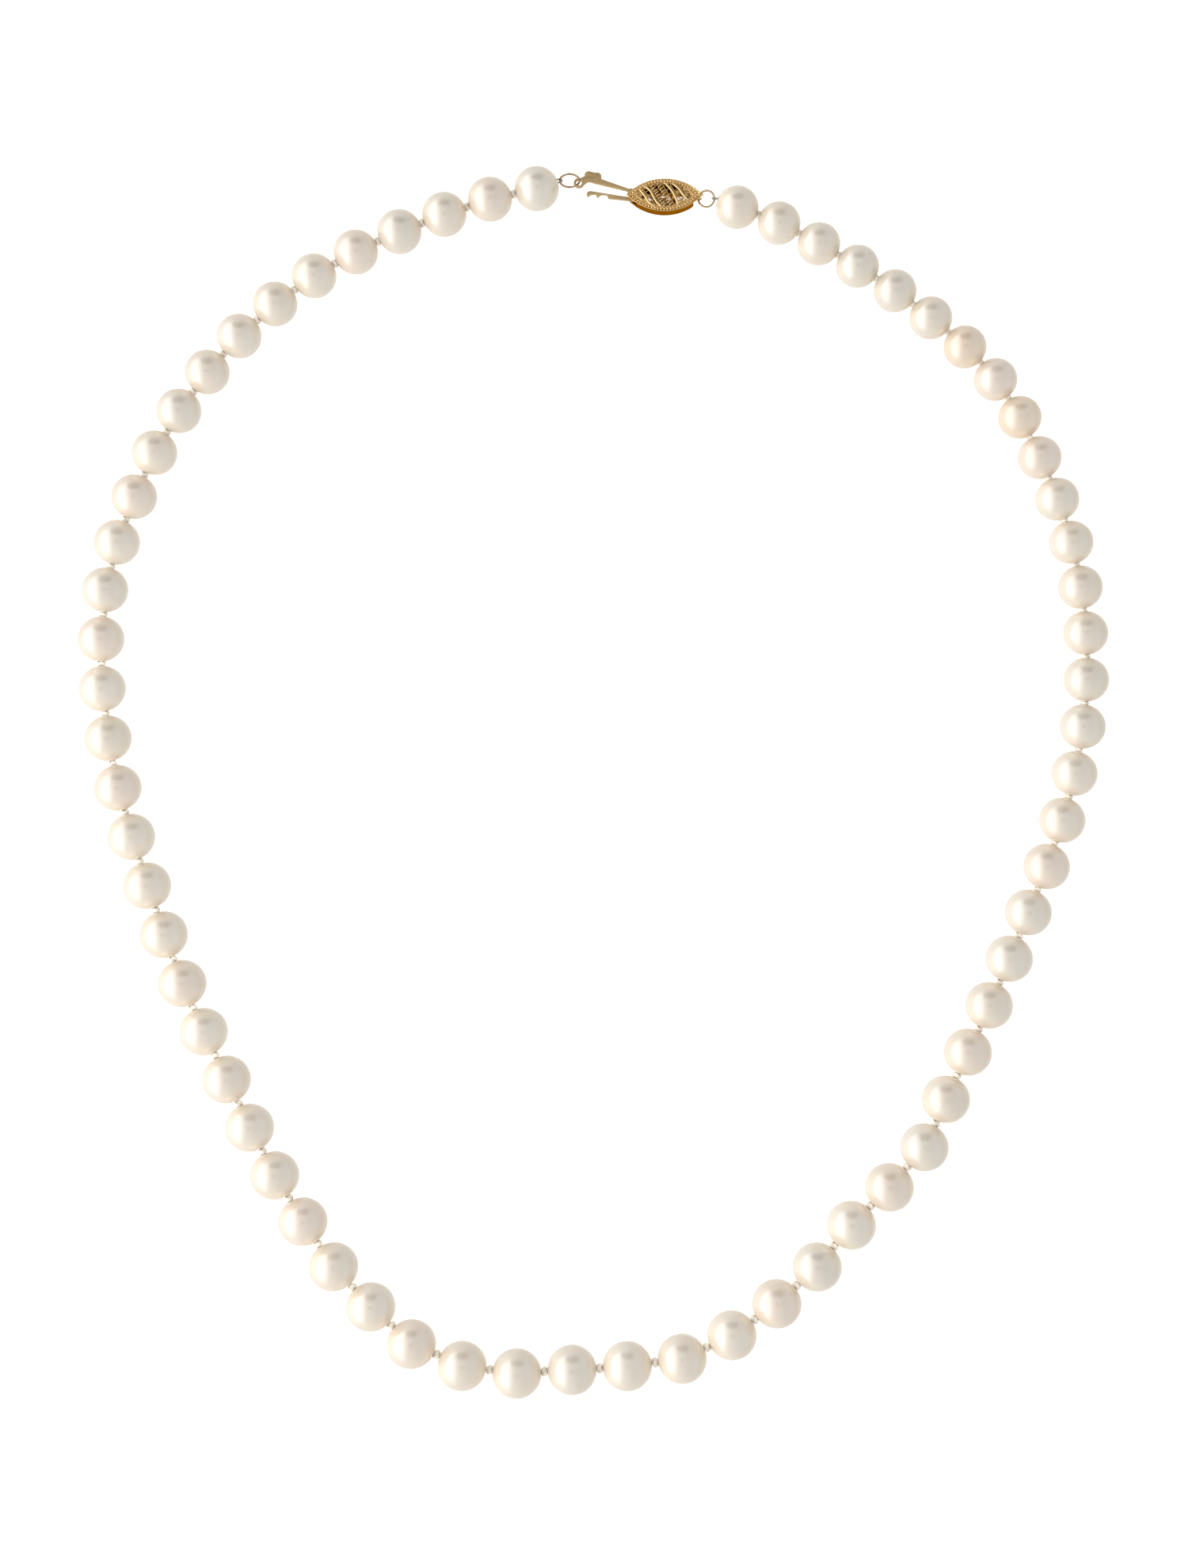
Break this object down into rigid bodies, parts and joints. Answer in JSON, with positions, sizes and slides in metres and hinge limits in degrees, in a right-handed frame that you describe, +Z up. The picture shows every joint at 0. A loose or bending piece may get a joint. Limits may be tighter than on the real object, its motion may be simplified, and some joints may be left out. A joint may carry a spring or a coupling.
{
  "type": "pearl necklace",
  "caption": "Closed loop of knotted, graduated round pearls with a filigree fish-hook clasp at the back, hinged at its knots, jump rings and clasp.",
  "frame": {"origin": "under the middle of the loop, on the surface that the necklace lies on", "axes": "+X to the right, +Y from the front pearls to the clasp, +Z up out of the loop"},
  "size_m": [0.1413, 0.1687, 0.0069],
  "materials": {
    "pearl_nacre": "lustrous cream nacre",
    "silk": "twisted white silk",
    "french_wire": "fine coiled silver wire",
    "polished_gold": "polished yellow gold",
    "brushed_gold": "satin yellow gold"
  },
  "bodies": {
    "front_run": {"pearl_31": "pearl_nacre", "pearl_32": "pearl_nacre", "pearl_33": "pearl_nacre", "pearl_34": "pearl_nacre", "pearl_35": "pearl_nacre"},
    "run_29_30": {"pearls_29_30": "pearl_nacre"},
    "run_28": {"pearl_28": "pearl_nacre"},
    "run_27": {"pearl_27": "pearl_nacre"},
    "run_26": {"pearl_26": "pearl_nacre"},
    "run_24_25": {"pearls_24_25": "pearl_nacre"},
    "run_22_23": {"pearls_22_23": "pearl_nacre"},
    "run_20_21": {"pearls_20_21": "pearl_nacre"},
    "run_19": {"pearl_19": "pearl_nacre"},
    "run_17_18": {"pearls_17_18": "pearl_nacre"},
    "run_16": {"pearl_16": "pearl_nacre"},
    "run_14_15": {"pearls_14_15": "pearl_nacre"},
    "run_12_13": {"pearls_12_13": "pearl_nacre"},
    "run_10_11": {"pearls_10_11": "pearl_nacre"},
    "run_08_09": {"pearls_08_09": "pearl_nacre"},
    "run_06_07": {"pearls_06_07": "pearl_nacre"},
    "run_05": {"pearl_05": "pearl_nacre"},
    "run_03_04": {"pearls_03_04": "pearl_nacre"},
    "run_01_02": {"pearl_01": "pearl_nacre", "pearl_02": "pearl_nacre"},
    "run_36_37": {"pearls_36_37": "pearl_nacre"},
    "run_38": {"pearl_38": "pearl_nacre"},
    "run_39_40": {"pearls_39_40": "pearl_nacre"},
    "run_41_42": {"pearls_41_42": "pearl_nacre"},
    "run_43_44": {"pearls_43_44": "pearl_nacre"},
    "run_45_46": {"pearls_45_46": "pearl_nacre"},
    "run_47_48": {"pearls_47_48": "pearl_nacre"},
    "run_49_50": {"pearls_49_50": "pearl_nacre"},
    "run_51": {"pearl_51": "pearl_nacre"},
    "run_52_53": {"pearls_52_53": "pearl_nacre"},
    "run_54_55": {"pearls_54_55": "pearl_nacre"},
    "run_56_57": {"pearls_56_57": "pearl_nacre"},
    "run_58_59": {"pearls_58_59": "pearl_nacre"},
    "run_60_61": {"pearls_60_61": "pearl_nacre"},
    "run_62": {"pearl_62": "pearl_nacre"},
    "run_63_65": {"pearls_63_64": "pearl_nacre", "pearl_65": "pearl_nacre"},
    "clasp_housing": {"clasp_top": "polished_gold", "clasp_wall": "polished_gold", "clasp_back": "polished_gold", "catch_pin": "polished_gold", "end_ring": "polished_gold", "thread_end_right": "french_wire"},
    "clasp_hook": {"hook_tongue": "brushed_gold", "thread_end_left": "french_wire"},
    "spring_arm": {"hook_spring_arm": "brushed_gold"},
    "left_ring": {"jump_ring_left": "polished_gold"},
    "right_ring": {"jump_ring_right": "polished_gold"}
  },
  "joints": [
    {"name": "fold_01", "type": "hinge", "parent": "front_run", "child": "run_29_30", "pos_m": [-0.02158, -0.07847, 0.00345], "axis": [0.9996, 0.0299, -0.0001], "range_deg": [-20, 20]},
    {"name": "sway_2", "type": "hinge", "parent": "run_29_30", "child": "run_28", "pos_m": [-0.03318, -0.06912, 0.00343], "axis": [0, 0, 1], "range_deg": [0, 10]},
    {"name": "fold_02", "type": "hinge", "parent": "run_28", "child": "run_27", "pos_m": [-0.03784, -0.06327, 0.00342], "axis": [0.9963, -0.0854, 0.0001], "range_deg": [-20, 20]},
    {"name": "clasp_open", "type": "hinge", "parent": "run_27", "child": "run_26", "pos_m": [-0.04187, -0.05701, 0.00341], "axis": [0, 0, 1], "range_deg": [0, 20]},
    {"name": "fold_03", "type": "hinge", "parent": "run_26", "child": "run_24_25", "pos_m": [-0.04553, -0.05057, 0.00339], "axis": [0.9997, -0.0243, -0.0002], "range_deg": [-20, 20]},
    {"name": "fold_04", "type": "hinge", "parent": "run_24_25", "child": "run_22_23", "pos_m": [-0.05199, -0.03741, 0.00336], "axis": [0.9996, -0.027, -0.0003], "range_deg": [-20, 20]},
    {"name": "fold_05", "type": "hinge", "parent": "run_22_23", "child": "run_20_21", "pos_m": [-0.05775, -0.02418, 0.00332], "axis": [0.9996, -0.0277, -0.0004], "range_deg": [-20, 20]},
    {"name": "sway_2_left_upper", "type": "hinge", "parent": "run_20_21", "child": "run_19", "pos_m": [-0.06207, -0.01081, 0.00329], "axis": [0, 0, 1], "range_deg": [-10, 0]},
    {"name": "fold_06", "type": "hinge", "parent": "run_19", "child": "run_17_18", "pos_m": [-0.06441, -0.00405, 0.00327], "axis": [0.9965, -0.084, -0.0003], "range_deg": [-20, 20]},
    {"name": "sway_1", "type": "hinge", "parent": "run_17_18", "child": "run_16", "pos_m": [-0.06707, 0.00952, 0.00323], "axis": [0, 0, 1], "range_deg": [0, 10]},
    {"name": "fold_07", "type": "hinge", "parent": "run_16", "child": "run_14_15", "pos_m": [-0.06755, 0.01633, 0.00321], "axis": [1, 0.0076, -0.0007], "range_deg": [-20, 20]},
    {"name": "fold_08", "type": "hinge", "parent": "run_14_15", "child": "run_12_13", "pos_m": [-0.06627, 0.02975, 0.00318], "axis": [1, 0.0013, -0.0008], "range_deg": [-20, 20]},
    {"name": "fold_09", "type": "hinge", "parent": "run_12_13", "child": "run_10_11", "pos_m": [-0.06171, 0.04229, 0.00315], "axis": [1, -0.0041, -0.0009], "range_deg": [-20, 20]},
    {"name": "fold_10", "type": "hinge", "parent": "run_10_11", "child": "run_08_09", "pos_m": [-0.05503, 0.0537, 0.00313], "axis": [1, -0.0086, -0.001], "range_deg": [-20, 20]},
    {"name": "fold_11", "type": "hinge", "parent": "run_08_09", "child": "run_06_07", "pos_m": [-0.04623, 0.06351, 0.00311], "axis": [0.9998, -0.0179, -0.0012], "range_deg": [-20, 20]},
    {"name": "sway_1_left_upper", "type": "hinge", "parent": "run_06_07", "child": "run_05", "pos_m": [-0.03524, 0.07116, 0.00305], "axis": [0, 0, 1], "range_deg": [-10, 0]},
    {"name": "fold_12", "type": "hinge", "parent": "run_05", "child": "run_03_04", "pos_m": [-0.02969, 0.07423, 0.00311], "axis": [0.9996, -0.0286, -0.0017], "range_deg": [-20, 20]},
    {"name": "hook_square", "type": "hinge", "parent": "run_03_04", "child": "run_01_02", "pos_m": [-0.01741, 0.07903, 0.00311], "axis": [0, 0, 1], "range_deg": [-20, 0]},
    {"name": "fold_01_right", "type": "hinge", "parent": "front_run", "child": "run_36_37", "pos_m": [0.01552, -0.07736, 0.00345], "axis": [0.9996, 0.0299, -0.0001], "range_deg": [-20, 20]},
    {"name": "fold_02_right", "type": "hinge", "parent": "run_36_37", "child": "run_38", "pos_m": [0.02785, -0.0689, 0.00343], "axis": [0.9963, -0.0854, 0.0001], "range_deg": [-20, 20]},
    {"name": "sway_1_right_lower", "type": "hinge", "parent": "run_38", "child": "run_39_40", "pos_m": [0.03297, -0.06352, 0.00341], "axis": [0, 0, 1], "range_deg": [0, 10]},
    {"name": "fold_03_right", "type": "hinge", "parent": "run_39_40", "child": "run_41_42", "pos_m": [0.04293, -0.05272, 0.00337], "axis": [0.9997, -0.0243, -0.0002], "range_deg": [-20, 20]},
    {"name": "fold_04_right", "type": "hinge", "parent": "run_41_42", "child": "run_43_44", "pos_m": [0.04979, -0.04016, 0.00333], "axis": [0.9996, -0.027, -0.0003], "range_deg": [-20, 20]},
    {"name": "fold_05_right", "type": "hinge", "parent": "run_43_44", "child": "run_45_46", "pos_m": [0.05559, -0.02732, 0.00328], "axis": [0.9996, -0.0277, -0.0004], "range_deg": [-20, 20]},
    {"name": "fold_06_right", "type": "hinge", "parent": "run_45_46", "child": "run_47_48", "pos_m": [0.06085, -0.01461, 0.00323], "axis": [0.9965, -0.084, -0.0003], "range_deg": [-20, 20]},
    {"name": "sway_1_right_upper", "type": "hinge", "parent": "run_47_48", "child": "run_49_50", "pos_m": [0.0648, -0.00188, 0.00324], "axis": [0, 0, 1], "range_deg": [-10, 0]},
    {"name": "sway_2_right_lower", "type": "hinge", "parent": "run_49_50", "child": "run_51", "pos_m": [0.06734, 0.01095, 0.00313], "axis": [0, 0, 1], "range_deg": [0, 10]},
    {"name": "fold_07_right", "type": "hinge", "parent": "run_51", "child": "run_52_53", "pos_m": [0.06753, 0.01736, 0.00311], "axis": [1, 0.0076, -0.0007], "range_deg": [-20, 20]},
    {"name": "fold_08_right", "type": "hinge", "parent": "run_52_53", "child": "run_54_55", "pos_m": [0.06613, 0.02992, 0.00307], "axis": [1, 0.0013, -0.0008], "range_deg": [-20, 20]},
    {"name": "fold_09_right", "type": "hinge", "parent": "run_54_55", "child": "run_56_57", "pos_m": [0.06238, 0.04177, 0.00303], "axis": [1, -0.0041, -0.0009], "range_deg": [-20, 20]},
    {"name": "fold_10_right", "type": "hinge", "parent": "run_56_57", "child": "run_58_59", "pos_m": [0.05679, 0.05274, 0.00301], "axis": [1, -0.0086, -0.001], "range_deg": [-20, 20]},
    {"name": "fold_11_right", "type": "hinge", "parent": "run_58_59", "child": "run_60_61", "pos_m": [0.04858, 0.06181, 0.003], "axis": [0.9998, -0.0179, -0.0012], "range_deg": [-20, 20]},
    {"name": "sway_2_right_upper", "type": "hinge", "parent": "run_60_61", "child": "run_62", "pos_m": [0.03845, 0.06925, 0.00299], "axis": [0, 0, 1], "range_deg": [-10, 0]},
    {"name": "fold_12_right", "type": "hinge", "parent": "run_62", "child": "run_63_65", "pos_m": [0.03353, 0.07242, 0.003], "axis": [0.9996, -0.0286, -0.0017], "range_deg": [-20, 20]},
    {"name": "clasp_roll", "type": "hinge", "parent": "run_63_65", "child": "clasp_housing", "pos_m": [0.01671, 0.07987, 0.00245], "axis": [0.9932, -0.1168, -0.0009], "range_deg": [-30, 30]},
    {"name": "hook_roll", "type": "hinge", "parent": "run_01_02", "child": "clasp_hook", "pos_m": [-0.0047, 0.08238, 0.00247], "axis": [0.9932, -0.1168, -0.0009], "range_deg": [-30, 30]},
    {"name": "left_ring_turn", "type": "hinge", "parent": "clasp_hook", "child": "left_ring", "pos_m": [-0.00335, 0.08275, 0.0022], "axis": [0, -0.8363, 0.5482], "continuous": true},
    {"name": "right_ring_turn", "type": "hinge", "parent": "clasp_housing", "child": "right_ring", "pos_m": [0.01545, 0.08025, 0.00222], "axis": [-0.259, 0, 0.9659], "continuous": true},
    {"name": "spring_arm_pinch", "type": "hinge", "parent": "clasp_hook", "child": "spring_arm", "pos_m": [0.00985, 0.07949, 0.00236], "axis": [0, -0.2588, -0.9659], "range_deg": [0, 4], "stiffness_Nm_per_rad": 0.02}
  ],
  "couplings": [
    {"joint": "sway_2_left_upper", "follows": "sway_2", "ratio": -1},
    {"joint": "sway_1_left_upper", "follows": "sway_1", "ratio": -1},
    {"joint": "hook_square", "follows": "clasp_open", "ratio": -1},
    {"joint": "fold_01_right", "follows": "fold_01", "ratio": 1},
    {"joint": "fold_02_right", "follows": "fold_02", "ratio": 1},
    {"joint": "sway_1_right_lower", "follows": "sway_1", "ratio": 1},
    {"joint": "fold_03_right", "follows": "fold_03", "ratio": 1},
    {"joint": "fold_04_right", "follows": "fold_04", "ratio": 1},
    {"joint": "fold_05_right", "follows": "fold_05", "ratio": 1},
    {"joint": "fold_06_right", "follows": "fold_06", "ratio": 1},
    {"joint": "sway_1_right_upper", "follows": "sway_1", "ratio": -1},
    {"joint": "sway_2_right_lower", "follows": "sway_2", "ratio": 1},
    {"joint": "fold_07_right", "follows": "fold_07", "ratio": 1},
    {"joint": "fold_08_right", "follows": "fold_08", "ratio": 1},
    {"joint": "fold_09_right", "follows": "fold_09", "ratio": 1},
    {"joint": "fold_10_right", "follows": "fold_10", "ratio": 1},
    {"joint": "fold_11_right", "follows": "fold_11", "ratio": 1},
    {"joint": "sway_2_right_upper", "follows": "sway_2", "ratio": -1},
    {"joint": "fold_12_right", "follows": "fold_12", "ratio": 1},
    {"joint": "hook_roll", "follows": "clasp_roll", "ratio": 1}
  ]
}
